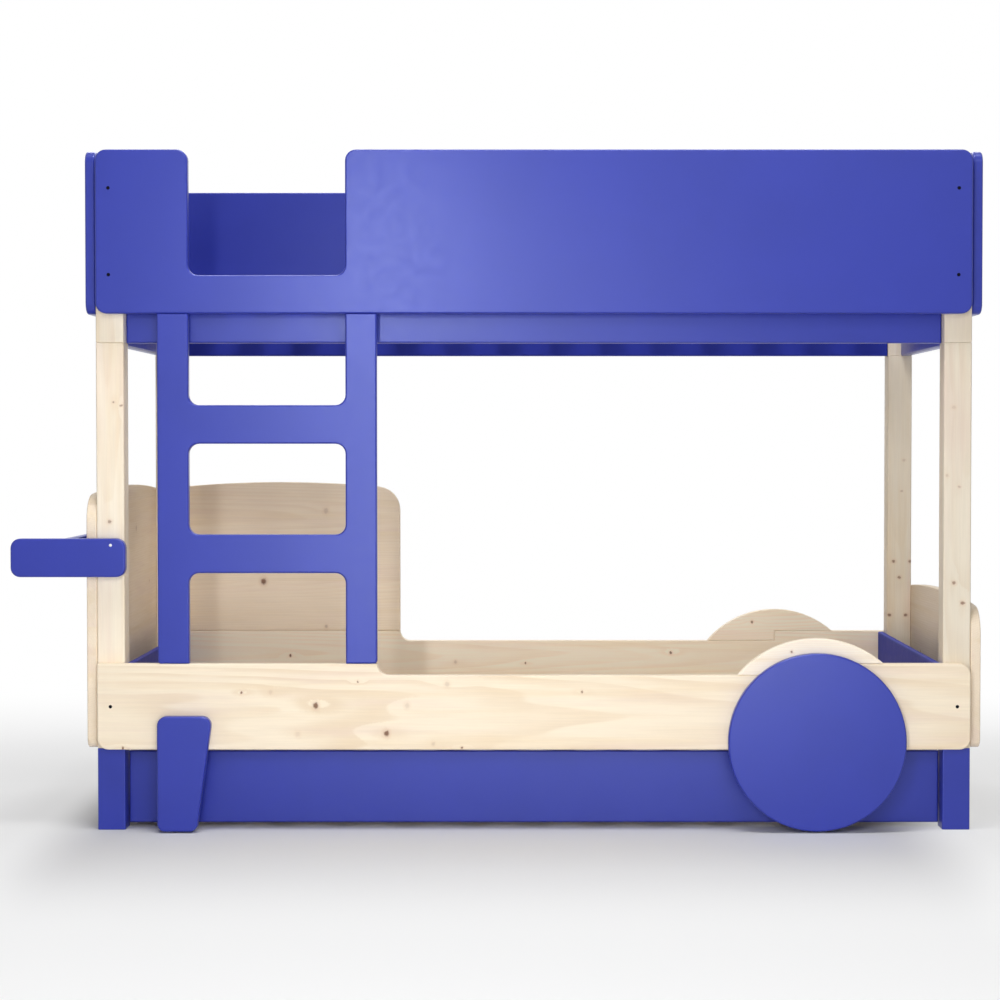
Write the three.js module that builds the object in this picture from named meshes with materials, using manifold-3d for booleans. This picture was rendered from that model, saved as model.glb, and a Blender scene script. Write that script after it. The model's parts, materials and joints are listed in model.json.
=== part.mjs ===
// A child's bunk bed shaped like a double-decker bus, in millimetres, +Z up.
// +X runs along the bed to the right, +Y from the front (ladder side) to the back.
// The origin is the middle of the footprint box, on the floor.

import * as THREE from 'three';
import { mergeVertices } from 'three/addons/utils/BufferGeometryUtils.js';
import Module from 'manifold-3d';

const wasm = await Module();
wasm.setup();

// Clearances
const seat = 0.2; // between two pieces that are screwed or doweled together
const runningGap = 0.05; // radial, wheel bore on its axle
const cheekGap = 1.5; // wheel side to castor ear
const trundleSideGap = 2; // trundle to the feet that it rolls between
const wheelRailGap = 0.3; // disc and tapered leg to the front rail, with the trundle pushed home

// Main sizes of the frame
const railLength = 2074; // rails and guards, along X
const mattressSpace = 924; // clear width between the long boards, along Y
const boardThickness = 26; // long boards, ladder, shelf cheeks
const endBoardThickness = 24; // head, foot and upper end boards
const edgeRound = 3; // rounding on the edges of lacquered boards
const pineEdge = 2; // and of pine boards
const endEdge = 1; // and at the ends of posts, legs and feet
const boardCorner = 26; // corner radius in the outline of long boards

// Posts, legs and feet
const postWidth = 66.5; // along X
const postDepth = 62; // along Y
const postProjection = 4; // past the ends of the long boards
const postEdge = 4; // rounding along the post
const footHeight = 195;
const postLength = 966.5;
const upperLegLength = 430;

// Lower bed
const railHeight = 204.5; // front and back rails, at their high parts
const railDrop = 27.5; // how much lower the rails are at the doorway
const crownRise = 18.6; // rise of the curved top edges
const crownCorner = 65; // corner radius of the boards with curved tops
const headboardHeight = 619.5;
const footboardHeight = 351;
const backrestHeight = 414;
const lowerEndRailHeight = 140;
const lowerEndRailThickness = 15;
const lowerEndRailDrop = 2.5; // below the high part of the rails
const ledgerHeight = 30;
const ledgerWidth = 70; // planks laid flat under the ends of the slats
const ledgerRise = 10; // above the bottom of the rails

// Slats
const slatWidth = 70;
const slatThickness = 18;
const slatLength = 900;
const slatCount = 14;
const slatEndGap = 20; // slat mats and ledgers to the lower end rails
const tapeWidth = 30;
const tapeThickness = 1.5;
const tapeInset = 160; // tape centre to slat end

// Upper bed
const upperRailHeight = 80;
const upperRailSetback = 33; // front face of the rail behind the front of the legs
const upperRailThickness = 26;
const upperEndRailThickness = 26;
const upperEndRailInset = 5; // from the outside of the legs
const guardRise = 67.1; // bottom of the guards above the bottom of the upper legs
const guardHeight = 387;
const endPanelHeight = 387;
const endPanelCorner = 27;
const doorwaySill = 90.5; // guard left under the entry cut-out

// Ladder
const ladderLeft = 145; // from the left end of the rail
const ladderWidth = 520;
const stileWidth = 74;
const treadHeight = 91.5;
const ladderCorner = 24; // radius in the corners of its openings
const ladderFootCorner = 7;

// Shelf in the shape of an engine bonnet
const cheekLength = 272.5;
const cheekHeight = 91.5;
const cheekCorner = 22.5;
const cheekRise = 410; // bottom of the cheeks above the feet
const cheekOverlap = 68.5; // how far the cheek laps the front rail's end
const lipInset = 5;
const lipThickness = 18;
const lipHeight = 57;
const shelfThickness = 18;
const shelfRise = 10; // underside above the bottom of the cheeks

// Wheel arches and wheel
const wheelFromEnd = 366; // its centre to the right end of the rail
const wheelRadius = 211;
const floorClearance = 3.5;
const archMargin = 33.5; // arch radius less the wheel's
const wheelThickness = 25;

// Tapered leg
const taperTopWidth = 131;
const taperBottomWidth = 93;
const taperHeight = 273;
const taperFromEnd = 145.5; // its straight edge to the left end of the rail
const taperTopCorner = 22;
const taperBottomCorner = 18;

// Trundle
const trundleSetback = 40; // face behind the front of the feet
const trundleFrontHeight = 173;
const trundleFrontBottom = 11;
const trundleFrontThickness = 22;
const trundleSideThickness = 18;
const trundleInside = 806; // front to back
const trundleSideHeight = 110;
const trundleSideBottom = 40;
const battenWidth = 60;
const battenHeight = 20;
const battenInset = 60; // from the inside of the front and back boards
const trundleSlatCount = 13;
const trundleSlatThickness = 12;
const slatSink = 1; // into the battens, so that the base is one solid
const spacerBottom = 30;
const spacerHeight = 148;
const discSpacerWidth = 160;
const taperSpacerWidth = 70;
const taperSpacerInset = 14;

// Castors
const castorRadius = 18;
const castorWidth = 16;
const castorHeadroom = 4; // top of the wheel to its bracket
const axleRadius = 3;
const axleHead = 2; // rivet head outside each ear
const bracketSheet = 2.5;
const bracketLength = 46; // along Y
const bracketWidth = 50; // along X
const bracketCorner = 5;
const earFoot = 6; // ear material round the axle
const castorInset = 110; // from the end of the batten
const treadRound = 3;
const hubRecess = 2;
const hubRadius = 8;

// Facets
const pointGap = 0.01; // closer points of an outline are one
const cornerSteps = 6;
const postSteps = 2;
const edgeSteps = 1;
const crownSteps = 14;
const archSteps = 36;
const discSteps = 80;
const wheelSteps = 20;
const axleSteps = 12;

// Places that follow from the sizes
const boardInner = mattressSpace / 2; // inside of the long boards
const boardOuter = boardInner + boardThickness;
const postOuterX = railLength / 2 + postProjection;
const postInnerX = postOuterX - postWidth;
const postOuterY = boardInner - seat;
const postInnerY = postOuterY - postDepth;
const endBoardX = postOuterX + seat;
const railBottom = footHeight;
const railTop = railBottom + railHeight;
const railLow = railTop - railDrop;
const postBottom = footHeight + seat;
const seam = postBottom + postLength;
const legBottom = seam + seat;
const guardBottom = legBottom + guardRise;
const cheekBottom = footHeight + cheekRise;
const ladderX = -railLength / 2 + ladderLeft;
const ladderRight = ladderX + ladderWidth;
const ladderBottom = railTop + seat;
const ladderTop = guardBottom - seat;
const sill = guardBottom + doorwaySill;
const treadPitch = (sill - railTop) / 3;
const wheelX = railLength / 2 - wheelFromEnd;
const wheelZ = wheelRadius + floorClearance;
const taperX = -railLength / 2 + taperFromEnd;
const archRadius = wheelRadius + archMargin;
const wheelBack = -boardOuter - wheelRailGap;
const wheelFront = wheelBack - wheelThickness;
const lowerEndRailX = postInnerX - seat - lowerEndRailThickness; // inner face
const slatFieldLength = 2 * (lowerEndRailX - slatEndGap);
const trundleFace = -postOuterY + trundleSetback;
const trundleFrontBack = trundleFace + trundleFrontThickness;
const trundleBack = trundleFrontBack + trundleInside;
const trundleHalf = postInnerX - trundleSideGap;
const trundleInnerX = trundleHalf - trundleSideThickness;
const plateBottom = 2 * castorRadius + castorHeadroom;
const battenBottom = plateBottom + bracketSheet + seat;
const battenTop = battenBottom + battenHeight;

const lacquer = { color: 0x4a50b4, roughness: 0.42, metalness: 0 };
const pine = { color: 0xf0dfc4, roughness: 0.6, metalness: 0 };
const steel = { color: 0xb9bcc0, roughness: 0.35, metalness: 1 };
const rubber = { color: 0x3c3e42, roughness: 0.55, metalness: 0 };

const bed = new THREE.Group();
bed.name = 'bunk_bed';
const object = new THREE.Group();
object.add(bed);

function addPiece(name, geometry, finish, x = 0, y = 0, z = 0, parent = bed) {
  const mesh = new THREE.Mesh(geometry, new THREE.MeshStandardMaterial(finish));
  mesh.name = name;
  mesh.position.set(x, y, z);
  parent.add(mesh);
  return mesh;
}

// Points of an arc, both ends included.
function arcPoints(cx, cy, radius, from, to, steps) {
  const points = [];
  for (let i = 0; i <= steps; i++) {
    const angle = from + (to - from) * i / steps;
    points.push(new THREE.Vector2(cx + radius * Math.cos(angle), cy + radius * Math.sin(angle)));
  }
  return points;
}

// A polygon whose corners [x, y, radius] are rounded by tangent arcs, inward or outward.
function filleted(corners, steps = cornerSteps) {
  const points = [];
  corners.forEach(([x, y, radius], i) => {
    const corner = new THREE.Vector2(x, y);
    if (!radius) {
      points.push(corner);
      return;
    }
    const before = new THREE.Vector2(...corners.at(i - 1)).sub(corner).normalize();
    const after = new THREE.Vector2(...corners[(i + 1) % corners.length]).sub(corner).normalize();
    const half = Math.acos(before.dot(after)) / 2;
    const middle = before.clone().add(after).normalize();
    const centre = corner.clone().addScaledVector(middle, radius / Math.sin(half));
    const start = corner.clone().addScaledVector(before, radius / Math.tan(half)).sub(centre);
    const end = corner.clone().addScaledVector(after, radius / Math.tan(half)).sub(centre);
    const from = start.angle();
    let turn = end.angle() - from;
    turn -= 2 * Math.PI * Math.round(turn / (2 * Math.PI));
    points.push(...arcPoints(centre.x, centre.y, radius, from, from + turn, steps));
  });
  return points;
}

function rectangle(x0, y0, x1, y1, radius = 0, steps = cornerSteps) {
  return filleted([[x0, y0, radius], [x1, y0, radius], [x1, y1, radius], [x0, y1, radius]], steps);
}

// A board's outline whose top edge is a shallow arc that runs into rounded shoulders.
function crowned(x0, x1, bottom, peak, bottomCorner) {
  const middle = (x0 + x1) / 2;
  const half = (x1 - x0) / 2;
  const radius = (half * half + crownRise * crownRise) / (2 * crownRise);
  const centre = peak - radius;
  const shoulderX = half - crownCorner;
  const shoulderZ = centre + Math.sqrt((radius - crownCorner) ** 2 - shoulderX ** 2);
  const angle = Math.atan2(shoulderZ - centre, shoulderX);
  const foot = filleted(
    [[x1, peak, 0], [x0, peak, 0], [x0, bottom, bottomCorner], [x1, bottom, bottomCorner]]);
  return [
    ...foot.slice(2),
    ...arcPoints(middle + shoulderX, shoulderZ, crownCorner, 0, angle, cornerSteps),
    ...arcPoints(middle, centre, radius, angle, Math.PI - angle, crownSteps),
    ...arcPoints(middle - shoulderX, shoulderZ, crownCorner, Math.PI - angle, Math.PI, cornerSteps),
  ];
}

// Drops points that fall on the one before them.
function withoutRepeats(points) {
  return points.filter((point, i) => point.distanceTo(points.at(i - 1)) > pointGap);
}

// A board from its outline, with rounded edges, lying from z = 0 to its thickness.
function board(points, thickness, round = edgeRound, holes = []) {
  const shape = new THREE.Shape(withoutRepeats(points));
  shape.holes = holes.map((hole) => new THREE.Path(withoutRepeats(hole)));
  const geometry = new THREE.ExtrudeGeometry(shape, {
    depth: thickness - 2 * round,
    bevelEnabled: round > 0,
    bevelThickness: round,
    bevelSize: round,
    bevelOffset: -round,
    bevelSegments: edgeSteps,
  });
  return geometry.translate(0, 0, round);
}

const unitX = new THREE.Vector3(1, 0, 0);
const unitY = new THREE.Vector3(0, 1, 0);
const unitZ = new THREE.Vector3(0, 0, 1);

// Stands a board up along the bed: its outline is in x and z, and it reaches back from y = 0.
function alongBed(geometry, thickness) {
  geometry.applyMatrix4(new THREE.Matrix4().makeBasis(unitX, unitZ, unitY.clone().negate()));
  return geometry.translate(0, thickness, 0);
}

// Stands a board up across the bed: its outline is in y and z, and it reaches from x = 0 to +x.
function acrossBed(geometry) {
  return geometry.applyMatrix4(new THREE.Matrix4().makeBasis(unitY, unitZ, unitX));
}

function solidOf(geometry) {
  const bare = geometry.clone();
  bare.deleteAttribute('normal');
  bare.deleteAttribute('uv');
  const merged = mergeVertices(bare, 1e-4);
  return new wasm.Manifold(new wasm.Mesh({
    numProp: 3,
    vertProperties: new Float32Array(merged.attributes.position.array),
    triVerts: new Uint32Array(merged.index.array),
  }));
}

function geometryOf(solid) {
  const mesh = solid.getMesh();
  const geometry = new THREE.BufferGeometry();
  geometry.setAttribute('position', new THREE.BufferAttribute(mesh.vertProperties, 3));
  geometry.setIndex(new THREE.BufferAttribute(mesh.triVerts, 1));
  return geometry;
}

function joined(geometries) {
  return geometryOf(geometries.map(solidOf).reduce((whole, next) => whole.add(next)));
}

// The four corners of the bed, by name and by the sign of x and y.
const corners = [
  ['front_left', -1, -1],
  ['front_right', 1, -1],
  ['back_left', -1, 1],
  ['back_right', 1, 1],
];

// Feet, posts and upper legs share one section and stand on each other.
function addPosts() {
  const halfWidth = postWidth / 2;
  const halfDepth = postDepth / 2;
  const section = rectangle(-halfWidth, -halfDepth, halfWidth, halfDepth, postEdge, postSteps);
  for (const [name, sideX, sideY] of corners) {
    const x = sideX * (postOuterX - halfWidth);
    const y = sideY * (postOuterY - halfDepth);
    addPiece(`foot_${name}`, board(section, footHeight, endEdge), lacquer, x, y, 0);
    addPiece(`lower_post_${name}`, board(section, postLength, endEdge), pine, x, y, postBottom);
    addPiece(`upper_leg_${name}`, board(section, upperLegLength, endEdge), pine, x, y, legBottom);
  }
}

// The two long rails are low at the doorway and step up under the wheel arch.
function addLowerRails() {
  const end = railLength / 2;
  const outline = filleted([
    [-end, railBottom, boardCorner],
    [end, railBottom, boardCorner],
    [end, railTop, boardCorner],
    [wheelX, railTop, 0],
    [wheelX, railLow, 0],
    [ladderRight, railLow, railDrop],
    [ladderRight, railTop, 0],
    [-end, railTop, 0],
  ]);
  const rail = () => alongBed(board(outline, boardThickness, pineEdge), boardThickness);
  addPiece('lower_rail_front', rail(), pine, 0, -boardOuter, 0);
  addPiece('lower_rail_back', rail(), pine, 0, boardInner, 0);
}

// A wheel arch is concentric with the wheel and stands on both heights of the rail.
function addArches() {
  const low = railLow + seat;
  const high = railTop + seat;
  const fromLow = Math.asin((low - wheelZ) / archRadius);
  const fromHigh = Math.asin((high - wheelZ) / archRadius);
  const outline = [
    new THREE.Vector2(wheelX - seat, low),
    new THREE.Vector2(wheelX - seat, high),
    ...arcPoints(wheelX, wheelZ, archRadius, fromHigh, Math.PI - fromLow, archSteps),
  ];
  const arch = () => alongBed(board(outline, boardThickness, pineEdge), boardThickness);
  addPiece('wheel_arch_front', arch(), pine, 0, -boardOuter, 0);
  addPiece('wheel_arch_back', arch(), pine, 0, boardInner, 0);
}

function addLowerBoards() {
  const bottom = railTop + seat;
  const backrest = crowned(-railLength / 2, ladderRight, bottom, railTop + backrestHeight, 0);
  const back = board(backrest, boardThickness, pineEdge);
  addPiece('backrest', alongBed(back, boardThickness), pine, 0, boardInner, 0);
  const endOutline = (height) => crowned(
    -postOuterY, postOuterY, railBottom, railBottom + height, boardCorner);
  const headboard = acrossBed(board(endOutline(headboardHeight), endBoardThickness, pineEdge));
  addPiece('headboard', headboard, pine, -endBoardX - endBoardThickness, 0, 0);
  const footboard = acrossBed(board(endOutline(footboardHeight), endBoardThickness, pineEdge));
  addPiece('footboard', footboard, pine, endBoardX, 0, 0);
}

// Blue rails inside the posts close the ends of the mattress space.
function addLowerEndRails() {
  const top = railTop - lowerEndRailDrop;
  const outline = rectangle(-postOuterY, top - lowerEndRailHeight, postOuterY, top);
  const rail = () => acrossBed(board(outline, lowerEndRailThickness, pineEdge));
  addPiece('lower_end_rail_left', rail(), lacquer, -lowerEndRailX - lowerEndRailThickness, 0, 0);
  addPiece('lower_end_rail_right', rail(), lacquer, lowerEndRailX, 0, 0);
}

function addLedgers() {
  const half = slatFieldLength / 2;
  const bottom = railBottom + ledgerRise;
  const ledger = () => alongBed(
    board(rectangle(-half, 0, half, ledgerHeight), ledgerWidth, 0), ledgerWidth);
  addPiece('slat_ledger_front', ledger(), pine, 0, -postOuterY, bottom);
  addPiece('slat_ledger_back', ledger(), pine, 0, postOuterY - ledgerWidth, bottom);
}

// Slats across the bed, held at their spacing by two tapes, as one rolled-out mat.
function slatMat(count, width, thickness, length, fieldLength) {
  const parts = [];
  const pitch = (fieldLength - width) / (count - 1);
  for (let i = 0; i < count; i++) {
    const x = -fieldLength / 2 + i * pitch;
    parts.push(board(rectangle(x, -length / 2, x + width, length / 2), thickness, 0));
  }
  for (const side of [-1, 1]) {
    const y = side * (length / 2 - tapeInset);
    const reach = (fieldLength - width) / 2;
    const outline = rectangle(-reach, y - tapeWidth / 2, reach, y + tapeWidth / 2);
    const tape = board(outline, 2 * tapeThickness, 0);
    parts.push(tape.translate(0, 0, thickness - tapeThickness));
  }
  return joined(parts);
}

function addSlats() {
  const mat = () => slatMat(slatCount, slatWidth, slatThickness, slatLength, slatFieldLength);
  addPiece('lower_slats', mat(), pine, 0, 0, railBottom + ledgerRise + ledgerHeight + seat);
  addPiece('upper_slats', mat(), pine, 0, 0, legBottom + upperRailHeight + seat);
}

// The upper frame sits between the legs, set back from their faces.
function addUpperFrame() {
  const reach = postInnerX - seat;
  const longOutline = rectangle(-reach, legBottom, reach, legBottom + upperRailHeight);
  const longRail = () => alongBed(board(longOutline, upperRailThickness), upperRailThickness);
  const face = postOuterY - upperRailSetback;
  addPiece('upper_rail_front', longRail(), lacquer, 0, -face, 0);
  addPiece('upper_rail_back', longRail(), lacquer, 0, face - upperRailThickness, 0);
  const half = postInnerY - seat;
  const endOutline = rectangle(-half, legBottom, half, legBottom + upperRailHeight);
  const endRail = () => acrossBed(board(endOutline, upperEndRailThickness));
  const outer = postOuterX - upperEndRailInset;
  addPiece('upper_end_rail_left', endRail(), lacquer, -outer, 0, 0);
  addPiece('upper_end_rail_right', endRail(), lacquer, outer - upperEndRailThickness, 0, 0);
}

// The front guard is cut out over the ladder, so that the treads lead up through it.
function addGuards() {
  const end = railLength / 2;
  const top = guardBottom + guardHeight;
  const doorLeft = ladderX + stileWidth;
  const doorRight = ladderRight - stileWidth;
  const outline = filleted([
    [-end, guardBottom, boardCorner],
    [end, guardBottom, boardCorner],
    [end, top, boardCorner],
    [doorRight, top, boardCorner],
    [doorRight, sill, ladderCorner],
    [doorLeft, sill, ladderCorner],
    [doorLeft, top, boardCorner],
    [-end, top, boardCorner],
  ]);
  const front = board(outline, boardThickness);
  addPiece('guard_front', alongBed(front, boardThickness), lacquer, 0, -boardOuter, 0);
  const plain = board(rectangle(-end, guardBottom, end, top, boardCorner), boardThickness);
  addPiece('guard_back', alongBed(plain, boardThickness), lacquer, 0, boardInner, 0);
}

function addEndPanels() {
  const top = guardBottom + endPanelHeight;
  const outline = rectangle(-postOuterY, guardBottom, postOuterY, top, endPanelCorner);
  const panel = () => acrossBed(board(outline, endBoardThickness));
  addPiece('end_panel_left', panel(), lacquer, -endBoardX - endBoardThickness, 0, 0);
  addPiece('end_panel_right', panel(), lacquer, endBoardX, 0, 0);
}

// The ladder is one board: open at the top to the guard and at the bottom to the rail.
function addLadder() {
  const left = ladderX + stileWidth;
  const right = ladderRight - stileWidth;
  const lowTread = railTop + treadPitch;
  const highTread = lowTread + treadPitch;
  const outline = filleted([
    [ladderX, ladderBottom, ladderFootCorner],
    [left, ladderBottom, 0],
    [left, lowTread - treadHeight, ladderCorner],
    [right, lowTread - treadHeight, ladderCorner],
    [right, ladderBottom, 0],
    [ladderRight, ladderBottom, ladderFootCorner],
    [ladderRight, ladderTop, 0],
    [right, ladderTop, 0],
    [right, highTread, ladderCorner],
    [left, highTread, ladderCorner],
    [left, ladderTop, 0],
    [ladderX, ladderTop, 0],
  ]);
  const opening = rectangle(left, lowTread, right, highTread - treadHeight, ladderCorner);
  const ladder = board(outline, boardThickness, edgeRound, [opening]);
  addPiece('ladder', alongBed(ladder, boardThickness), lacquer, 0, -boardOuter, 0);
}

// Two cheeks hold a shelf with a lip outside the headboard. The front one laps the corner post,
// and the back one stops at the backrest.
function addShelf() {
  const right = -railLength / 2 + cheekOverlap;
  const left = right - cheekLength;
  const top = cheekBottom + cheekHeight;
  const front = board(rectangle(left, cheekBottom, right, top, cheekCorner), boardThickness);
  addPiece('shelf_cheek_front', alongBed(front, boardThickness), lacquer, 0, -boardOuter, 0);
  const backEnd = -railLength / 2 - seat;
  const backOutline = filleted([
    [left, cheekBottom, cheekCorner],
    [backEnd, cheekBottom, 0],
    [backEnd, top, 0],
    [left, top, cheekCorner],
  ]);
  const back = board(backOutline, boardThickness);
  addPiece('shelf_cheek_back', alongBed(back, boardThickness), lacquer, 0, boardInner, 0);
  const bottom = cheekBottom + shelfRise;
  const lipX = left + lipInset;
  const lipOutline = rectangle(-postOuterY, bottom, postOuterY, bottom + lipHeight);
  addPiece('shelf_lip', acrossBed(board(lipOutline, lipThickness)), lacquer, lipX, 0, 0);
  const from = lipX + lipThickness + seat;
  const to = -endBoardX - endBoardThickness - seat;
  const boardOutline = rectangle(from, -postOuterY, to, postOuterY);
  addPiece('shelf_board', board(boardOutline, shelfThickness, pineEdge), lacquer, 0, 0, bottom);
}

const trundle = new THREE.Group();
bed.add(trundle);

function addTrundleBox() {
  const front = board(
    rectangle(-trundleHalf, trundleFrontBottom, trundleHalf, trundleFrontBottom + trundleFrontHeight),
    trundleFrontThickness);
  addPiece('trundle_front', alongBed(front, trundleFrontThickness), lacquer, 0, trundleFace, 0, trundle);
  const top = trundleSideBottom + trundleSideHeight;
  const back = board(
    rectangle(-trundleHalf, trundleSideBottom, trundleHalf, top), trundleSideThickness, pineEdge);
  addPiece('trundle_back', alongBed(back, trundleSideThickness), pine, 0, trundleBack, 0, trundle);
  const outline = rectangle(
    trundleFrontBack + seat, trundleSideBottom, trundleBack - seat, top);
  const side = () => acrossBed(board(outline, trundleSideThickness, pineEdge));
  addPiece('trundle_side_left', side(), pine, -trundleHalf, 0, 0, trundle);
  addPiece('trundle_side_right', side(), pine, trundleInnerX, 0, 0, trundle);
}

// Where the two battens under the trundle's slats lie, and so the castors.
const battenYs = [
  trundleFrontBack + battenInset + battenWidth / 2,
  trundleBack - battenInset - battenWidth / 2,
];

function addTrundleBase() {
  const reach = trundleInnerX - seat;
  const front = trundleFrontBack + seat;
  const back = trundleBack - seat;
  const parts = battenYs.map((y) => board(
    rectangle(-reach, y - battenWidth / 2, reach, y + battenWidth / 2), battenHeight, 0)
    .translate(0, 0, battenBottom));
  const pitch = (2 * reach - slatWidth) / (trundleSlatCount - 1);
  for (let i = 0; i < trundleSlatCount; i++) {
    const x = -reach + i * pitch;
    const slat = board(
      rectangle(x, front, x + slatWidth, back), trundleSlatThickness + slatSink, 0);
    parts.push(slat.translate(0, 0, battenTop - slatSink));
  }
  addPiece('trundle_slats', joined(parts), pine, 0, 0, 0, trundle);
}

// The wheel and the tapered leg stand off the trundle's face and serve as its two pulls.
function addPulls() {
  const reach = trundleFace - wheelBack - 2 * seat;
  const disc = board(arcPoints(wheelX, wheelZ, wheelRadius, 0, 2 * Math.PI, discSteps), wheelThickness);
  addPiece('wheel_disc', alongBed(disc, wheelThickness), lacquer, 0, wheelFront, 0, trundle);
  const outline = filleted([
    [taperX, floorClearance, taperBottomCorner],
    [taperX + taperBottomWidth, floorClearance, taperBottomCorner],
    [taperX + taperTopWidth, floorClearance + taperHeight, taperTopCorner],
    [taperX, floorClearance + taperHeight, taperTopCorner],
  ]);
  const taper = board(outline, wheelThickness);
  addPiece('tapered_leg', alongBed(taper, wheelThickness), lacquer, 0, wheelFront, 0, trundle);
  const spacer = (x, width) => alongBed(
    board(rectangle(x, spacerBottom, x + width, spacerBottom + spacerHeight), reach, pineEdge), reach);
  const discSpacer = spacer(wheelX - discSpacerWidth / 2, discSpacerWidth);
  addPiece('wheel_spacer', discSpacer, lacquer, 0, wheelBack + seat, 0, trundle);
  const taperSpacer = spacer(taperX + taperSpacerInset, taperSpacerWidth);
  addPiece('leg_spacer', taperSpacer, lacquer, 0, wheelBack + seat, 0, trundle);
}

// A castor bracket: top plate, two ears that narrow to the axle, and the riveted axle.
function bracketGeometry() {
  const earX = castorWidth / 2 + cheekGap;
  const half = bracketLength / 2;
  const plateHeight = plateBottom - castorRadius;
  const plate = board(
    rectangle(-bracketWidth / 2, -half, bracketWidth / 2, half, bracketCorner, postSteps), bracketSheet, 0)
    .translate(0, 0, plateHeight);
  const earRadius = axleRadius + earFoot;
  const top = plateHeight + bracketSheet / 2;
  const slant = Math.atan2(half - earRadius, top);
  const earOutline = [
    new THREE.Vector2(half, top),
    new THREE.Vector2(-half, top),
    ...arcPoints(0, 0, earRadius, Math.PI - slant, 2 * Math.PI + slant, 2 * cornerSteps),
  ];
  const ears = [-earX - bracketSheet, earX].map(
    (x) => acrossBed(board(earOutline, bracketSheet, 0)).translate(x, 0, 0));
  const axleLength = 2 * (earX + bracketSheet + axleHead);
  const axle = new THREE.CylinderGeometry(axleRadius, axleRadius, axleLength, axleSteps);
  axle.rotateZ(Math.PI / 2);
  return joined([plate, ...ears, axle]);
}

// A castor wheel turned from its profile: a rounded tread, a recessed web and a bore.
function castorGeometry() {
  const half = castorWidth / 2;
  const bore = axleRadius + runningGap;
  const web = half - hubRecess;
  const rim = castorRadius - 2 * treadRound;
  const profile = [
    [bore, -half],
    [hubRadius, -half],
    [hubRadius + hubRecess, -web],
    [rim - hubRecess, -web],
    [rim, -half],
    [castorRadius - treadRound, -half],
    [castorRadius, -half + treadRound],
    [castorRadius, half - treadRound],
    [castorRadius - treadRound, half],
    [rim, half],
    [rim - hubRecess, web],
    [hubRadius + hubRecess, web],
    [hubRadius, half],
    [bore, half],
    [bore, -half],
  ].map(([r, y]) => new THREE.Vector2(r, y));
  const wheel = new THREE.LatheGeometry(profile, wheelSteps);
  return wheel.rotateZ(-Math.PI / 2);
}

function addCastors() {
  const x = trundleInnerX - castorInset;
  for (const [name, sideX, sideY] of corners) {
    const y = battenYs[(sideY + 1) / 2];
    addPiece(`castor_bracket_${name}`, bracketGeometry(), steel, sideX * x, y, castorRadius, trundle);
    addPiece(`castor_wheel_${name}`, castorGeometry(), rubber, sideX * x, y, castorRadius, trundle);
  }
}

addPosts();
addLowerRails();
addArches();
addLowerBoards();
addLowerEndRails();
addLedgers();
addSlats();
addUpperFrame();
addGuards();
addEndPanels();
addLadder();
addShelf();
addTrundleBox();
addTrundleBase();
addPulls();
addCastors();

// Moves the middle of the footprint box to the origin.
const leftmost = -railLength / 2 + cheekOverlap - cheekLength;
const rightmost = endBoardX + endBoardThickness;
bed.position.set(-(leftmost + rightmost) / 2, -(wheelFront + boardOuter) / 2, 0);

export default object;
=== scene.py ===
# A bunk bed shaped like a double-decker bus, in indigo lacquer and pale pine.
# Lengths are in metres: +X to the right, +Y to the back, +Z up.
import json
import math

import bmesh
import bpy
import numpy as np
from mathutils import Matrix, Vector


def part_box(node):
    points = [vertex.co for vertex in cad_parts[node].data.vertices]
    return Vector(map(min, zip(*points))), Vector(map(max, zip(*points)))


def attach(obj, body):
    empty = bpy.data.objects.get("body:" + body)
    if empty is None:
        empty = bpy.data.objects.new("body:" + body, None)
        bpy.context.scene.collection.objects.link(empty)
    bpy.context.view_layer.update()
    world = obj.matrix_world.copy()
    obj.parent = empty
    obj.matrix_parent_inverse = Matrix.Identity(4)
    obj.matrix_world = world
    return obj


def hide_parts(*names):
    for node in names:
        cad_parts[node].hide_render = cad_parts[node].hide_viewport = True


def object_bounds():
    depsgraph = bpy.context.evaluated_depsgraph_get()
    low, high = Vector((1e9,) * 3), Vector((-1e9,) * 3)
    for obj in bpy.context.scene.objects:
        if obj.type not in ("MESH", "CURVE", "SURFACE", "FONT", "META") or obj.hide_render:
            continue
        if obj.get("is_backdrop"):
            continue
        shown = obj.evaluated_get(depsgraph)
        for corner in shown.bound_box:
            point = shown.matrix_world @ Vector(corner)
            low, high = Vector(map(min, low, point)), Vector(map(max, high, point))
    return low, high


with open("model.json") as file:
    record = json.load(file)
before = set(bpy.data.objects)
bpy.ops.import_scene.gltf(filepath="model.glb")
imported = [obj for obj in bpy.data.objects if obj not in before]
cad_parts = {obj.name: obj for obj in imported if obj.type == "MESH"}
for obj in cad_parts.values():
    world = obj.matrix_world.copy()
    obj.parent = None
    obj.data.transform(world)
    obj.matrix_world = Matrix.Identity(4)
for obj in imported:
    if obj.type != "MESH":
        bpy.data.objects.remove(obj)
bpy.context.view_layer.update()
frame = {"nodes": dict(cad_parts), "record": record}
print("frame loaded")

corners = ["front_left", "front_right", "back_left", "back_right"]


# nodes of a material, by short calls
def plug(tree, socket, value):
    # A value is an output of another node or a constant.
    if isinstance(value, bpy.types.NodeSocket):
        tree.links.new(value, socket)
    else:
        socket.default_value = value


def addNode(tree, kind, settings=None, **inputs):
    # Inputs are named by their label without spaces, or in0, in1 ... by place.
    node = tree.nodes.new(kind)
    for key, value in (settings or {}).items():
        setattr(node, key, value)
    for key, value in inputs.items():
        if key[:2] == "in" and key[2:].isdigit():
            socket = node.inputs[int(key[2:])]
        else:
            socket = next(s for s in node.inputs if s.name.replace(" ", "") == key)
        plug(tree, socket, value)
    return node


def inPlaces(values):
    return {f"in{i}": value for i, value in enumerate(values)}


def mathOf(tree, operation, *values):
    return addNode(tree, "ShaderNodeMath", {"operation": operation}, **inPlaces(values)).outputs[0]


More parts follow.
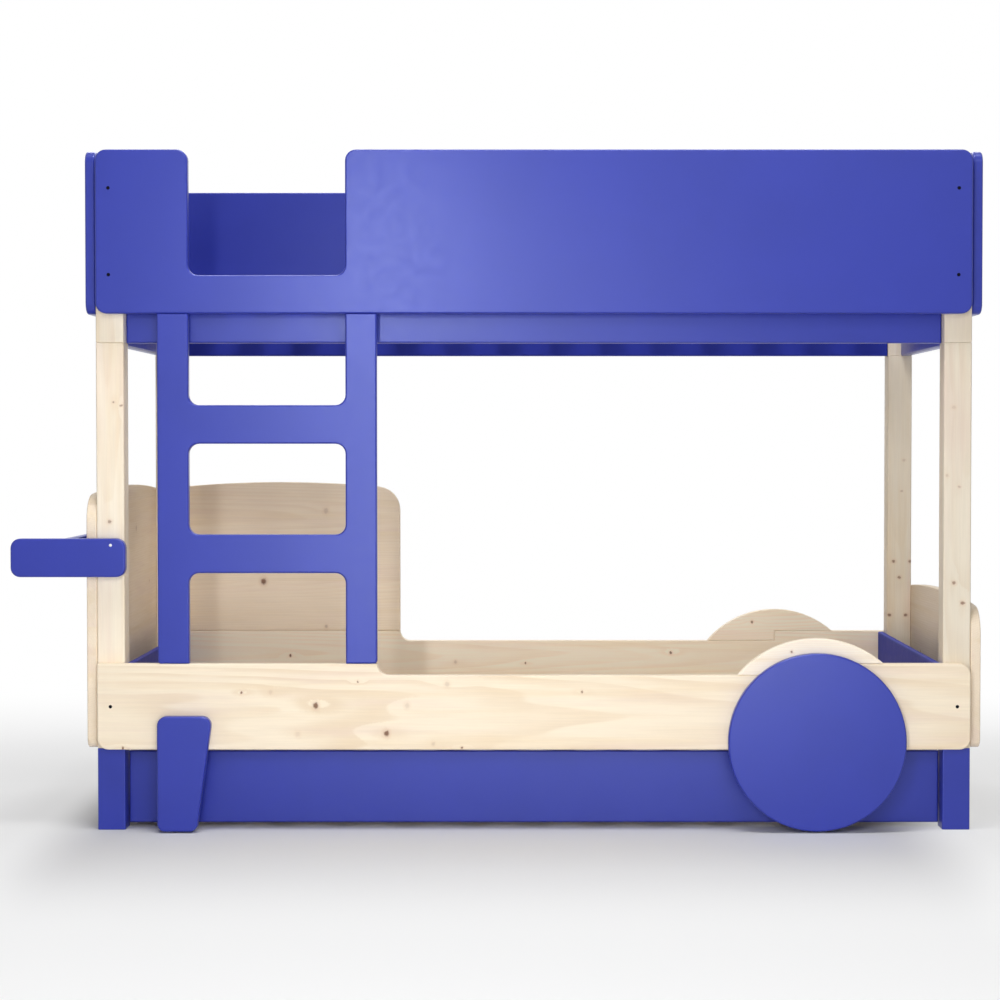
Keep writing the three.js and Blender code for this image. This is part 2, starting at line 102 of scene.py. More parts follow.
def joined(tree, operation, values):
    total = values[0]
    for value in values[1:]:
        total = mathOf(tree, operation, total, value)
    return total


def vectorOf(tree, operation, *values):
    node = addNode(tree, "ShaderNodeVectorMath", {"operation": operation}, **inPlaces(values))
    return node.outputs["Value" if operation in ("DISTANCE", "LENGTH") else "Vector"]


def pointOf(tree, x, y, z=0.0):
    return addNode(tree, "ShaderNodeCombineXYZ", None, X=x, Y=y, Z=z).outputs[0]


def stretched(tree, point, shift, scale):
    return addNode(tree, "ShaderNodeMapping", None, Vector=point, Location=shift, Scale=scale).outputs[0]


def mapRange(tree, value, fromLow, fromHigh, toLow, toHigh, smooth=False):
    kind = "SMOOTHSTEP" if smooth else "LINEAR"
    return addNode(tree, "ShaderNodeMapRange", {"interpolation_type": kind}, Value=value,
                   FromMin=fromLow, FromMax=fromHigh, ToMin=toLow, ToMax=toHigh).outputs[0]


def mixColor(tree, share, first, second, blend="MIX"):
    node = tree.nodes.new("ShaderNodeMix")
    node.data_type = "RGBA"
    node.blend_type = blend
    # the node has inputs for every kind of data, and the colours are the seventh and eighth
    for place, value in ((0, share), (6, first), (7, second)):
        plug(tree, node.inputs[place], value)
    return node.outputs[2]


def noiseOf(tree, vector, scale, detail=2.0, roughness=0.5):
    return addNode(tree, "ShaderNodeTexNoise", None, Vector=vector, Scale=scale, Detail=detail,
                   Roughness=roughness).outputs[0]


def newMaterial(name):
    material = bpy.data.materials.new(name)
    material.use_nodes = True
    tree = material.node_tree
    tree.nodes.clear()
    shader = tree.nodes.new("ShaderNodeBsdfPrincipled")
    output = tree.nodes.new("ShaderNodeOutputMaterial")
    tree.links.new(shader.outputs[0], output.inputs[0])
    place = tree.nodes.new("ShaderNodeTexCoord").outputs["Object"]
    return material, tree, shader, place


def wireShader(tree, shader, color, roughness, specular, relief, strength, depth):
    # relief runs from 0 to 1 and is depth metres deep
    plug(tree, shader.inputs["Base Color"], color)
    plug(tree, shader.inputs["Roughness"], roughness)
    plug(tree, shader.inputs["Specular IOR Level"], specular)
    bump = addNode(tree, "ShaderNodeBump", None, Strength=strength, Distance=depth, Height=relief)
    plug(tree, shader.inputs["Normal"], bump.outputs[0])


def srgb(red, green, blue):
    # Screen values from 0 to 255 to linear light.
    value = np.array([red, green, blue]) / 255
    linear = np.where(value <= 0.04045, value / 12.92, ((value + 0.055) / 1.055) ** 2.4)
    return (*[float(v) for v in linear], 1.0)


# a fine noise and a cloudy one mostly stay between these
noiseEnds = (0.3, 0.7)
cloudEnds = (0.35, 0.65)

# indigo lacquer: satin, with a faint orange peel
lacquerLook = {
    "color": srgb(47, 57, 160),
    "deeper": srgb(45, 55, 155),
    "cloudScale": 5.0,
    "roughness": 0.31,
    "rubScale": 38.0,
    "rub": (-0.02, 0.025),
    "specular": 0.65,
    "tint": (0.55, 0.62, 1.0, 1.0),
    "peelScale": 420.0,
    "peelStrength": 0.6,
    "peelDepth": 0.00002,
}


def lacquerMaterial(name, look=lacquerLook):
    material, tree, shader, place = newMaterial(name)
    cloud = noiseOf(tree, place, look["cloudScale"], 3.0)
    color = mixColor(tree, mapRange(tree, cloud, *cloudEnds, 0, 1), look["color"], look["deeper"])
    rub = noiseOf(tree, place, look["rubScale"], 4.0)
    roughness = mapRange(tree, rub, *noiseEnds, *(look["roughness"] + step for step in look["rub"]))
    peel = noiseOf(tree, place, look["peelScale"], 2.0)
    wireShader(tree, shader, color, roughness, look["specular"],
               peel, look["peelStrength"], look["peelDepth"])
    plug(tree, shader.inputs["Specular Tint"], look["tint"])
    return material


# pale pine: growth rings round a pith that runs aslant behind the board, fibres, streaks and knots
pineLook = {
    "early": srgb(250, 238, 217),
    "late": srgb(232, 208, 175),
    "streak": srgb(241, 219, 184),
    "blush": srgb(240, 217, 200),
    "knot": srgb(112, 72, 50),
    "knotRim": srgb(214, 176, 142),
    "ringPitch": 0.0052,
    "ringRise": (0.25, 0.86),
    "ringFall": (0.9, 1.0),
    "ringShare": 0.38,
    "ringFaintest": 0.35,
    "ringRelief": -0.5,
    "wobble": 0.012,
    "wobbleStretch": (0.9, 7.0, 7.0),
    "fibreScale": 260.0,
    "fibreStretch": (0.035, 1.0, 1.0),
    "fibreShade": (0.965, 1.02),
    "fibreStrength": 0.5,
    "fibreDepth": 0.00006,
    "streakScale": 24.0,
    "streakStretch": (0.05, 1.0, 1.0),
    "streakEnds": (0.46, 0.74),
    "streakShare": 0.6,
    "blushScale": 2.4,
    "blushEnds": (0.5, 0.78),
    "blushShare": 0.55,
    "cloudScale": 4.0,
    "roughness": (0.55, 0.46),
    "specular": 0.35,
}
# how much each strip of a glued board differs from its neighbours
plankLook = {"shift": (9.0, 3.0), "pithReach": 1.4, "shade": (0.965, 1.01)}
# The rings bow round a knot in an eye, three times as long as it is high. The core and the rim fade
# out between two distances in radii. push and rimDepth are what the faintest knot has, and what
# the depth of its colour adds.
knotLook = {
    "raggedScale": 160.0,
    "ragged": 0.009,
    "coreSquash": 1.15,
    "eyeSquash": 0.33,
    "eyeReach": 3.6,
    "push": (0.3, 0.5),
    "core": (0.4, 1.05),
    "rim": (0.3, 2.1),
    "rimDepth": (0.3, 0.7),
    "coreShare": 0.9,
    "rimShare": 0.5,
}
# what a board's seed is multiplied by, for each of its noises
seedSteps = {"plank": 7.31, "wobble": 0.37, "fibre": 1.7, "streak": 2.3}


def pineMaterial(name, grain, seed, knots=(), plank=0.0, plankStart=0.0, tilt=0.018,
                 pith=(0.07, 0.02), tone=1.0, look=pineLook):
    # grain is two letters: the axis the fibres follow, and the axis across the board's face.
    # knots are (along, across, radius, depth of colour).
    # plank is the width of the strips the board is glued from, and tone lightens or darkens it all.
    along, face = grain
    depth = ({"x", "y", "z"} - {along, face}).pop()
    material, tree, shader, place = newMaterial(name)
    split = addNode(tree, "ShaderNodeSeparateXYZ", None, Vector=place).outputs
    axes = {"x": split[0], "y": split[1], "z": split[2]}
    runs, across, deep = axes[along], axes[face], axes[depth]

    # each strip has its own number, which moves the rings and the tone
    base = pointOf(tree, runs, across, deep)
    if plank:
        strip = mathOf(tree, "DIVIDE", mathOf(tree, "SUBTRACT", across, plankStart), plank)
        number = mathOf(tree, "ADD", mathOf(tree, "FLOOR", strip), seed * seedSteps["plank"])
        chance = addNode(tree, "ShaderNodeTexWhiteNoise", {"noise_dimensions": "1D"}, W=number).outputs[0]
        shift = [mathOf(tree, "MULTIPLY", chance, step) for step in plankLook["shift"]]
        base = vectorOf(tree, "ADD", base, pointOf(tree, *shift))
    long = stretched(tree, base, (seed, seed * seedSteps["wobble"], 0), look["wobbleStretch"])
    wave = mapRange(tree, noiseOf(tree, long, 1.0, 2.0), 0.0, 1.0, -look["wobble"], look["wobble"])

    # knots: their cores and rims in the board's face, and the push they give the rings
    pushes, cores, rims = [], [], []
    if knots:
        rough = noiseOf(tree, place, knotLook["raggedScale"], 2.0)
        ragged = mathOf(tree, "MULTIPLY", mathOf(tree, "SUBTRACT", rough, 0.5), knotLook["ragged"])
        level = mathOf(tree, "ADD", across, ragged)
        coreSquash, eyeSquash = knotLook["coreSquash"], knotLook["eyeSquash"]
        flat = pointOf(tree, mathOf(tree, "MULTIPLY", runs, coreSquash), level)
        eye = pointOf(tree, mathOf(tree, "MULTIPLY", runs, eyeSquash), level)
    for knotAlong, knotAcross, radius, knotDepth in knots:
        away = vectorOf(tree, "DISTANCE", flat, (knotAlong * coreSquash, knotAcross, 0))
        bowed = vectorOf(tree, "DISTANCE", eye, (knotAlong * eyeSquash, knotAcross, 0))
        push, rim = (least + more * knotDepth for least, more in (knotLook["push"], knotLook["rimDepth"]))
        coreEnds, rimEnds = ([radius * reach for reach in knotLook[part]] for part in ("core", "rim"))
        pushes.append(mapRange(tree, bowed, 0.0, radius * knotLook["eyeReach"],
                               look["ringPitch"] * push, 0.0, True))
        cores.append(mapRange(tree, away, *coreEnds, knotDepth, 0.0, True))
        rims.append(mapRange(tree, away, *rimEnds, rim, 0.0, True))

    # distance from the pith, with the pith drifting along the board
    pithAcross, pithDeep = pith
    sideways = mathOf(tree, "SUBTRACT", across, pithAcross)
    if plank:
        reach = plank * plankLook["pithReach"]
        sideways = mathOf(tree, "ADD", sideways, mapRange(tree, chance, 0, 1, -reach, reach))
    drift = mathOf(tree, "ADD", mathOf(tree, "MULTIPLY", runs, tilt), pithDeep)
    radial = vectorOf(tree, "LENGTH", pointOf(tree, sideways, mathOf(tree, "SUBTRACT", deep, drift)))
    radial = mathOf(tree, "ADD", radial, wave)
    if knots:
        radial = mathOf(tree, "ADD", radial, joined(tree, "ADD", pushes))
    phase = mathOf(tree, "FRACT", mathOf(tree, "DIVIDE", radial, look["ringPitch"]))
    # a ring darkens slowly to its late wood and ends soon after
    rise = mapRange(tree, phase, *look["ringRise"], 0.0, 1.0, True)
    fall = mapRange(tree, phase, *look["ringFall"], 1.0, 0.0, True)
    ring = mathOf(tree, "MULTIPLY", rise, fall)

    fibrePlace = stretched(tree, base, (seed * seedSteps["fibre"], 0, 0), look["fibreStretch"])
    fibre = noiseOf(tree, fibrePlace, look["fibreScale"], 3.0, 0.6)
    streakPlace = stretched(tree, base, (seed * seedSteps["streak"], 0, 0), look["streakStretch"])
    streak = noiseOf(tree, streakPlace, look["streakScale"], 3.0, 0.55)
    streak = mapRange(tree, streak, *look["streakEnds"], 0.0, 1.0, True)
    blush = noiseOf(tree, long, look["blushScale"], 3.0)
    blush = mapRange(tree, blush, *look["blushEnds"], 0.0, look["blushShare"], True)
    cloud = noiseOf(tree, place, look["cloudScale"], 2.0)

    faintest = look["ringShare"] * look["ringFaintest"]
    share = mathOf(tree, "MULTIPLY", ring, mapRange(tree, cloud, *cloudEnds, faintest, look["ringShare"]))
    color = mixColor(tree, share, look["early"], look["late"])
    color = mixColor(tree, mathOf(tree, "MULTIPLY", streak, look["streakShare"]), color, look["streak"])
    color = mixColor(tree, blush, color, look["blush"])
    shade = mapRange(tree, fibre, *noiseEnds, *(value * tone for value in look["fibreShade"]))
    if plank:
        shade = mathOf(tree, "MULTIPLY", shade, mapRange(tree, chance, 0, 1, *plankLook["shade"]))
    color = mixColor(tree, 1.0, color, pointOf(tree, shade, shade, shade), "MULTIPLY")
    if knots:
        for marks, most, tint in ((rims, "rimShare", "knotRim"), (cores, "coreShare", "knot")):
            mark = mathOf(tree, "MULTIPLY", joined(tree, "MAXIMUM", marks), knotLook[most])
            color = mixColor(tree, mark, color, look[tint])
    roughness = mapRange(tree, fibre, *noiseEnds, *look["roughness"])
    relief = mathOf(tree, "ADD", fibre, mathOf(tree, "MULTIPLY", ring, look["ringRelief"]))
    wireShader(tree, shader, color, roughness, look["specular"],
               relief, look["fibreStrength"], look["fibreDepth"])
    return material


# small metal and plastic parts
def plainMaterial(name, color, metallic, roughness, grainScale, grainDepth, specular=0.5):
    material, tree, shader, place = newMaterial(name)
    grain = noiseOf(tree, place, grainScale, 4.0)
    worn = tuple(value * share for value, share in zip(color, plainLook["worn"]))
    tint = mixColor(tree, mapRange(tree, grain, *noiseEnds, 0, 1), color, worn)
    spread = plainLook["spread"]
    rough = mapRange(tree, grain, *noiseEnds, roughness - spread, roughness + spread)
    wireShader(tree, shader, tint, rough, specular, grain, plainLook["strength"], grainDepth)
    plug(tree, shader.inputs["Metallic"], metallic)
    return material


plainLook = {"worn": (0.86, 0.86, 0.87, 1.0), "spread": 0.05, "strength": 0.5}
zinc = plainMaterial("zincPlate", srgb(196, 198, 202), metallic=1.0, roughness=0.34,
                     grainScale=240.0, grainDepth=0.00002)
nylon = plainMaterial("greyNylon", srgb(62, 64, 68), metallic=0.0, roughness=0.5,
                      grainScale=600.0, grainDepth=0.00002)
# the bolts' near-black is partly the steel's own colour and partly painted shade of the hole each bolt sits
# in
boltBlackAndShade = plainMaterial("blackSteelAndShade", srgb(7, 6, 16), metallic=0.0, roughness=0.8,
                          grainScale=900.0, grainDepth=0.00001, specular=0.1)
capWhite = plainMaterial("whiteCap", srgb(244, 244, 242), metallic=0.0, roughness=0.4,
                         grainScale=500.0, grainDepth=0.00001)
lacquer = lacquerMaterial("indigoLacquer")
dullLacquer = lacquerMaterial("dullIndigoLacquer", {**lacquerLook, "specular": 0.25})
rubbedLacquer = lacquerMaterial("rubbedIndigoLacquer", {**lacquerLook, "roughness": 0.5, "specular": 0.08})


def newObject(name, data):
    item = bpy.data.objects.new(name, data)
    bpy.context.scene.collection.objects.link(item)
    return item


# boards: a merged copy of each solid, with its arrises rounded; angles are in degrees
boardLook = {"round": 0.0011, "segments": 2, "limit": 28.0, "weld": 2e-6, "flat": 0.3, "sharp": 40.0}


def dressed(node, material, roundness=boardLook["round"]):
    mesh = frame["nodes"][node].data.copy()
    mesh.name = node + "Board"
    work = bmesh.new()
    work.from_mesh(mesh)
    bmesh.ops.remove_doubles(work, verts=work.verts, dist=boardLook["weld"])
    bmesh.ops.dissolve_limit(work, angle_limit=math.radians(boardLook["flat"]), verts=work.verts,
                             edges=work.edges, use_dissolve_boundaries=False)
    for face in work.faces:
        face.smooth = True
    work.to_mesh(mesh)
    work.free()
    mesh.set_sharp_from_angle(angle=math.radians(boardLook["sharp"]))
    mesh.materials.clear()
    mesh.materials.append(material)
    piece = newObject(node + ".dressed", mesh)
    bevel = piece.modifiers.new("arris", "BEVEL")
    bevel.width = roundness
    bevel.segments = boardLook["segments"]
    bevel.limit_method = "ANGLE"
    bevel.angle_limit = math.radians(boardLook["limit"])
    flats = piece.modifiers.new("flats", "WEIGHTED_NORMAL")
    flats.mode = "FACE_AREA"
    flats.weight = 100
    flats.keep_sharp = True
    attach(piece, bodyOf[node])
    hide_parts(node)


bodyOf = {node: body for body, nodes in frame["record"]["behaviour"]["bodies"].items() for node in nodes}

# the long rail is streakier, and the wide boards show their grain less
streakyLook = {**pineLook, "early": srgb(251, 236, 211), "ringShare": 0.6}
# painted light: the front arch's lighter early wood and its higher tone stand in for light that the arch
# lacks; its fainter rings are its own grain
evenLitLook = {**pineLook, "early": srgb(252, 240, 220), "ringShare": 0.22}
# painted light and shade: the wide boards' warmer, darker colour stands in for their shade and the warm light
# bounced between the pine boards
warmShadedLook = {**pineLook, "early": srgb(250, 233, 209), "late": srgb(230, 202, 168), "ringShare": 0.22}
# Knots are (along the grain, across the face, radius, depth of colour), in the part's frame.
pineBoards = {
    # painted shade: the front rail's tone is a little darker, to offset the strong light on it
    "lower_rail_front": {
        "grain": "xz", "seed": 1.3, "pith": (0.26, 0.03), "tilt": 0.012, "tone": 0.965, "look": streakyLook,
        "knots": [(-0.43, 0.300, 0.0088, 1), (-0.262, 0.234, 0.0088, 1), (-0.606, 0.331, 0.0038, 1),
                  (-0.33, 0.357, 0.003, 0.8), (-0.083, 0.2, 0.0038, 1), (0.202, 0.333, 0.0036, 0.8),
                  (-0.888, 0.199, 0.0036, 1), (-0.118, 0.351, 0.008, 0.15), (-0.213, 0.3, 0.008, 0.12),
                  (-0.151, 0.209, 0.006, 0.15), (-0.537, 0.332, 0.006, 0.1), (-0.473, 0.232, 0.008, 0.08)]},
    # painted light: the back rail's tone is lighter, for light that reaches the inside of the bed
    "lower_rail_back": {
        "grain": "xz", "seed": 2.9, "pith": (0.33, 0.6), "tilt": 0.015, "tone": 1.09,
        "knots": [(0.065, 0.309, 0.003, 0.9), (0.47, 0.338, 0.005, 0.9), (-0.13, 0.312, 0.006, 0.2),
                  (-0.59, 0.33, 0.004, 1), (-0.9, 0.29, 0.005, 1)]},
    "wheel_arch_front": {
        "grain": "xz", "seed": 4.1, "pith": (0.9, -0.35), "tone": 1.04, "look": evenLitLook,
        "knots": [(0.699, 0.428, 0.0038, 0.9)]},
    # painted light: the back arch's tone is lighter, for light that reaches the inside of the bed
    "wheel_arch_back": {
        "grain": "xz", "seed": 5.6, "pith": (0.52, 0.62), "tone": 1.11,
        "knots": [(0.696, 0.424, 0.0044, 0.9)]},
    # painted light: the backrest's tone is lighter, for light that reaches the inside of the bed
    "backrest": {
        "grain": "xz", "seed": 6.2, "pith": (0.6, 0.62), "plank": 0.138, "plankStart": 0.4,
        "tone": 1.05, "look": warmShadedLook,
        "knots": [(-0.664, 0.537, 0.0104, 1), (-0.602, 0.337, 0.0034, 1), (-0.49, 0.734, 0.009, 0.2),
                  (-0.49, 0.411, 0.006, 0.3)]},
    "headboard": {
        "grain": "yz", "seed": 7.7, "pith": (0.5, -1.05), "plank": 0.145, "plankStart": 0.195,
        "tone": 0.98, "look": warmShadedLook,
        "knots": [(0.1, 0.7, 0.008, 0.3), (-0.2, 0.45, 0.006, 0.8), (0.3, 0.55, 0.005, 0.3)]},
    # painted shade: the footboard's tone is darker, for the shade on its inner face
    "footboard": {
        "grain": "yz", "seed": 8.4, "pith": (0.4, 1.22), "plank": 0.145, "plankStart": 0.195,
        "tone": 0.91, "look": warmShadedLook,
        "knots": [(-0.15, 0.46, 0.007, 0.5), (0.26, 0.36, 0.006, 0.8)]},
    "slat_ledger_front": {"grain": "xz", "seed": 9.9, "pith": (0.3, -0.4)},
    "slat_ledger_back": {"grain": "xz", "seed": 10.2, "pith": (0.3, 0.5)},
    "trundle_back": {"grain": "xz", "seed": 15.1, "pith": (0.2, 0.5), "knots": [(0.2, 0.1, 0.006, 1)]},
    "trundle_side_left": {"grain": "yz", "seed": 16.4, "pith": (0.2, -0.95)},
    "trundle_side_right": {"grain": "yz", "seed": 17.2, "pith": (0.2, 1.1), "knots": [(0.1, 0.1, 0.005, 1)]},
}
postKnots = {
    "front_left": [(0.736, -0.922, 0.0058, 0.6), (1.02, -0.911, 0.0035, 0.6), (1.012, -0.893, 0.0035, 0.6)],
    "front_right": [(1.008, 1.086, 0.006, 0.15), (0.846, 1.071, 0.005, 0.2), (0.819, 1.1, 0.004, 0.3),
                    (0.59, 1.088, 0.006, 0.7), (0.542, 1.109, 0.0058, 0.8)],
    "back_left": [(0.62, -0.92, 0.004, 1)],
    "back_right": [(0.596, 1.08, 0.006, 0.8), (0.596, 1.126, 0.006, 0.8), (0.552, 1.096, 0.006, 0.7),
                   (0.448, 1.069, 0.006, 0.8), (0.448, 1.114, 0.006, 0.8), (0.875, 1.108, 0.005, 0.2),
                   (0.79, 1.102, 0.004, 0.3)],
}
# painted shade: the two right posts are darkened for the weaker light on the bed's right; the darker planks
# below are this painted shade
postPaintedShade = {"front_right": 0.84, "back_right": 0.87}  # these two were cut from darker planks
for index, corner in enumerate(corners):
    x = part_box("lower_post_" + corner)[0].x
    tone = postPaintedShade.get(corner, 1.0)
    pineBoards["lower_post_" + corner] = {
        "grain": "zx", "seed": 20 + index * 1.37, "tilt": 0.01, "tone": tone, "knots": postKnots[corner],
        "pith": (x + 0.02 + 0.03 * (index % 2), 0.03 * index - 0.7)}
    pineBoards["upper_leg_" + corner] = {
        "grain": "zx", "seed": 30 + index * 1.21, "tilt": 0.012, "tone": tone,
        "pith": (x + 0.05, 0.62 - 0.03 * index)}
# Each slat is its own plank, and the seams fall in the gaps between slats.
slatWidth = 0.07
slatBoards = {
    "lower_slats": {"grain": "yx", "seed": 11.3, "pith": (0.1, 0.2), "count": 14},
    "upper_slats": {"grain": "yx", "seed": 12.6, "pith": (0.1, 1.2), "count": 14},
    "trundle_slats": {"grain": "yx", "seed": 13.8, "pith": (0.1, 0.0), "count": 13},
}
for node, board in slatBoards.items():
    low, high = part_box(node)
    board["plank"] = (high.x - low.x - slatWidth) / (board.pop("count") - 1)
    board["plankStart"] = low.x - (board["plank"] - slatWidth) / 2
    pineBoards[node] = board
for node, board in pineBoards.items():
    dressed(node, pineMaterial(node + "Pine", **board))
print("pine boards:", len(pineBoards))

# the boards that show in the shade of others are rubbed or dull, and gleam less
finishOf = {"guard_back": dullLacquer, "upper_rail_back": rubbedLacquer,
            "lower_end_rail_left": rubbedLacquer, "lower_end_rail_right": rubbedLacquer}
lacquered = [part["node"] for part in frame["record"]["subparts"] if part["material_slot"] == "lacquer"]
for node in lacquered:
    dressed(node, finishOf.get(node, lacquer))
print("lacquered boards:", len(lacquered))

castorRound = {"bracket": 0.0004, "wheel": 0.0005}
for corner in corners:
    dressed("castor_bracket_" + corner, zinc, castorRound["bracket"])
    dressed("castor_wheel_" + corner, nylon, castorRound["wheel"])
print("castors:", len(corners))

# fasteners: a profile of (radius, height) turned about an axis
fastenerLook = {"sides": 32, "sharp": 35.0}
boltLook = {"radius": 0.0042, "sunk": 0.006, "proud": 0.0005}


def turned(name, profile, centre, outward, material, sides=fastenerLook["sides"]):
    # point = centre + height * outward + radius * (cos * u + sin * v), for a ring of angles
    profile = np.array(profile, float)
    normal = np.array(outward, float)
    u = np.cross(normal, (0.0, 0.0, 1.0) if abs(normal[2]) < 0.9 else (1.0, 0.0, 0.0))
    u /= np.linalg.norm(u)
    v = np.cross(normal, u)
    angle = np.arange(sides) * (2 * math.pi / sides)
    around = np.cos(angle)[:, None] * u + np.sin(angle)[:, None] * v
    points = np.array(centre) + profile[:, 1, None, None] * normal + profile[:, 0, None, None] * around
    rows = len(profile)
    i, j = np.meshgrid(np.arange(rows - 1), np.arange(sides), indexing="ij")
    k = (j + 1) % sides
    quads = np.stack([i * sides + j, i * sides + k, (i + 1) * sides + k, (i + 1) * sides + j], -1)
    caps = [list(range(sides))[::-1], list(range((rows - 1) * sides, rows * sides))]
    mesh = bpy.data.meshes.new(name)
    mesh.from_pydata(points.reshape(-1, 3), [], quads.reshape(-1, 4).tolist() + caps)
    work = bmesh.new()
    work.from_mesh(mesh)
    bmesh.ops.recalc_face_normals(work, faces=work.faces)
    for face in work.faces:
        face.smooth = True
    work.to_mesh(mesh)
    work.free()
    mesh.set_sharp_from_angle(angle=math.radians(fastenerLook["sharp"]))
    mesh.materials.append(material)
    return newObject(name, mesh)


radius, sunk, proud = boltLook["radius"], boltLook["sunk"], boltLook["proud"]
boltProfile = [(radius * 0.8, -sunk), (radius, -0.0004), (radius, 0.0001),
               (radius * 0.85, proud), (radius * 0.3, proud)]
boltPlaces = [(-0.9171, 1.525), (-0.9171, 1.3207), (1.0914, 1.525), (1.0914, 1.3207),
              (-0.9171, 0.2975), (1.0929, 0.2975)]
# only in front, where they show: at the back they would stand out of the bed's box
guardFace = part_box("guard_front")[0].y
for index, (x, z) in enumerate(boltPlaces):
    bolt = turned(f"bolt_front_{index}", boltProfile, (x, guardFace, z), (0, -1, 0), boltBlackAndShade)
    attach(bolt, "frame")
capProfile = [(0.0028, -0.004), (0.0034, -0.0003), (0.0036, 0.0001),
              (0.0034, 0.0006), (0.0024, 0.0009), (0.0008, 0.001)]
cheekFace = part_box("shelf_cheek_front")[0].y
cap = turned("cheek_cap", capProfile, (-0.9153, cheekFace, 0.681), (0, -1, 0), capWhite)
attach(cap, "frame")
print("fasteners placed")

# stage: a pale floor that fades to white away from the bed, and a white world
stageLook = {
    "half": 30.0,
    "drop": -0.0003,
    "floor": srgb(238, 238, 238),
    "seenFloor": srgb(216, 216, 216),
    "roughness": 0.8,
    "specular": 0.1,
    "world": 0.03,
}
# each fade: the way it runs, where it starts and ends, and how white the floor is at both
fadeLook = {
    "front": ("ahead", 0.5, 1.6, 0.0, 0.68),
    "farFront": ("ahead", 2.0, 4.5, 0.0, 1.0),
    # nearEnds and nearBack mix white glow into the floor right beside the bed's ends and back: painted light
    # that lightens the bed's shadow there
    "nearEnds": ("aside", 0.9, 1.12, 0.0, 0.56),
    "nearBack": ("behind", 0.45, 1.2, 0.0, 0.56),
    "nearStops": ("ahead", 1.4, 3.2, 1.0, 0.0),
    "farEnds": ("aside", 1.2, 6.0, 0.0, 1.0),
    "farBack": ("behind", 0.3, 2.6, 0.0, 1.0),
}


def directRays(tree):
    # 1 for what the camera sees, by itself or in gloss and glass
    rays = tree.nodes.new("ShaderNodeLightPath").outputs
    kinds = ("Is Camera Ray", "Is Glossy Ray", "Is Transmission Ray")
    return joined(tree, "MAXIMUM", [rays[kind] for kind in kinds])


half, drop = stageLook["half"], stageLook["drop"]
floorMesh = bpy.data.meshes.new("floor")
floorCorners = [(-half, -half, drop), (half, -half, drop), (half, half, drop), (-half, half, drop)]
floorMesh.from_pydata(floorCorners, [], [(0, 1, 2, 3)])
floor = newObject("floor", floorMesh)
floor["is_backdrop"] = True
material, tree, shader, place = newMaterial("paleFloor")
direct = directRays(tree)
plug(tree, shader.inputs["Base Color"], mixColor(tree, direct, stageLook["floor"], stageLook["seenFloor"]))
plug(tree, shader.inputs["Roughness"], stageLook["roughness"])
plug(tree, shader.inputs["Specular IOR Level"], stageLook["specular"])
spot = addNode(tree, "ShaderNodeSeparateXYZ", None, Vector=place).outputs
ways = {"aside": mathOf(tree, "ABSOLUTE", spot[0]), "behind": spot[1],
        "ahead": mathOf(tree, "MULTIPLY", spot[1], -1.0)}
fade = {name: mapRange(tree, ways[way], *ends, True) for name, (way, *ends) in fadeLook.items()}
near = mathOf(tree, "MAXIMUM", fade["nearEnds"], fade["nearBack"])
near = mathOf(tree, "MULTIPLY", near, fade["nearStops"])
fades = [fade["front"], fade["farFront"], near, fade["farEnds"], fade["farBack"]]
kept = joined(tree, "MULTIPLY", [mathOf(tree, "SUBTRACT", 1.0, part) for part in fades])
seenWhite = mathOf(tree, "MULTIPLY", direct, mathOf(tree, "SUBTRACT", 1.0, kept))
white = addNode(tree, "ShaderNodeEmission", None, Color=(1, 1, 1, 1), Strength=1.0).outputs[0]
mixed = addNode(tree, "ShaderNodeMixShader", None, in0=seenWhite, in1=shader.outputs[0], in2=white).outputs[0]
output = next(n for n in tree.nodes if n.type == "OUTPUT_MATERIAL")
tree.links.new(mixed, output.inputs[0])
floorMesh.materials.append(material)

world = bpy.data.worlds.new("studio")
bpy.context.scene.world = world
world.use_nodes = True
tree = world.node_tree
tree.nodes.clear()
strength = mapRange(tree, directRays(tree), 0.0, 1.0, stageLook["world"], 1.0)
sky = addNode(tree, "ShaderNodeBackground", None, Color=(1, 1, 1, 1), Strength=strength).outputs[0]
tree.links.new(sky, tree.nodes.new("ShaderNodeOutputWorld").inputs[0])

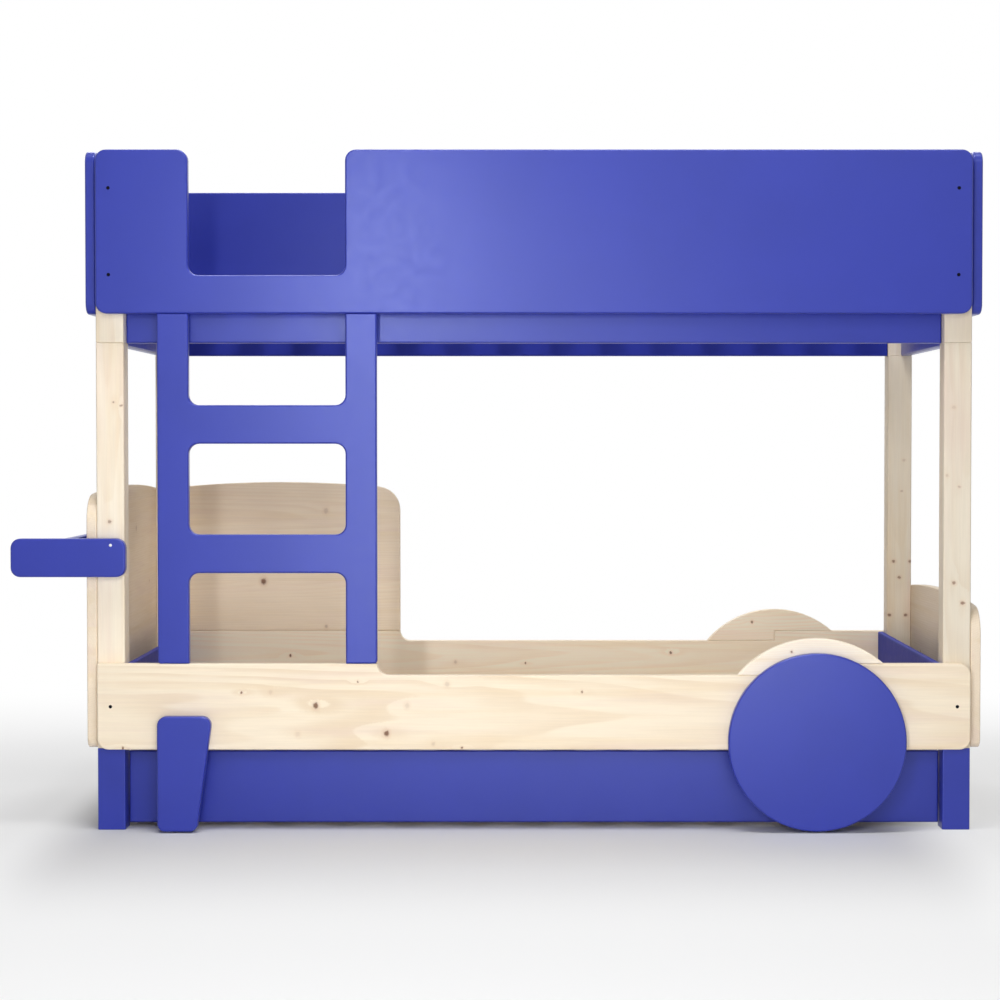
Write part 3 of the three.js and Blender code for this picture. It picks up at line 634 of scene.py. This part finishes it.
# lamps: place, aim, width, height, watts
lamps = {
    "keyStrip": ((-0.53, -3.545, 1.68), (-0.5, -0.4, 1.3), 0.1, 0.8, 16.5),
    "keyStripLow": ((-0.53, -3.545, 0.66), (-0.5, -0.4, 0.8), 0.1, 1.24, 11.5),
    "keyBeside": ((-0.12, -3.5, 1.0), (-0.1, -0.4, 1.0), 0.3, 1.8, 7.0),
    "keyLow": ((0.42, -3.5, 1.45), (0.3, -0.4, 1.3), 0.5, 0.3, 2.0),
    "overheadLeft": ((-0.3, -1.55, 5.2), (-0.2, -0.49, 0.6), 1.6, 0.8, 72.0),
    "overheadRight": ((0.5, -1.3, 5.0), (0.3, -0.3, 0.6), 3.2, 1.2, 65.0),
    "frontRight": ((1.3, -6.4, 4.15), (0.0, -0.3, 0.8), 2.2, 1.8, 66.0),
    "frontLow": ((0.33, -3.5, 0.36), (0.2, -0.4, 0.4), 0.5, 0.4, 10.0),
    "lowRight": ((0.9, -3.2, 0.35), (0.2, -0.4, 0.15), 0.5, 0.3, 6.0),
    "behind": ((0.0, 3.4, 4.4), (0.0, 0.0, 0.3), 4.0, 1.6, 130.0),
}
for name, (spotAt, aim, width, height, watts) in lamps.items():
    data = bpy.data.lights.new(name, "AREA")
    data.shape = "RECTANGLE"
    data.size = width
    data.size_y = height
    data.energy = watts
    lamp = newObject(name, data)
    lamp.visible_camera = False
    lamp.location = spotAt
    lamp.rotation_euler = (Vector(aim) - Vector(spotAt)).to_track_quat("-Z", "Y").to_euler()
print("stage and lamps set")

cameraLook = {"lens": 82.55, "sensor": 36.0, "shift": -0.03224, "clipEnd": 200.0,
              "place": (0.084, -5.90275, 0.9283), "pitch": 0.0258}
cameraData = bpy.data.cameras.new("camera")
cameraData.lens = cameraLook["lens"]
cameraData.sensor_width = cameraLook["sensor"]
cameraData.shift_x = cameraLook["shift"]
cameraData.clip_end = cameraLook["clipEnd"]
camera = newObject("camera", cameraData)
camera.location = cameraLook["place"]
camera.rotation_euler = (math.pi / 2 - cameraLook["pitch"], 0, 0)
bpy.context.scene.camera = camera
bpy.context.scene.view_settings.view_transform = "Standard"

low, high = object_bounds()
print("bed dressed")
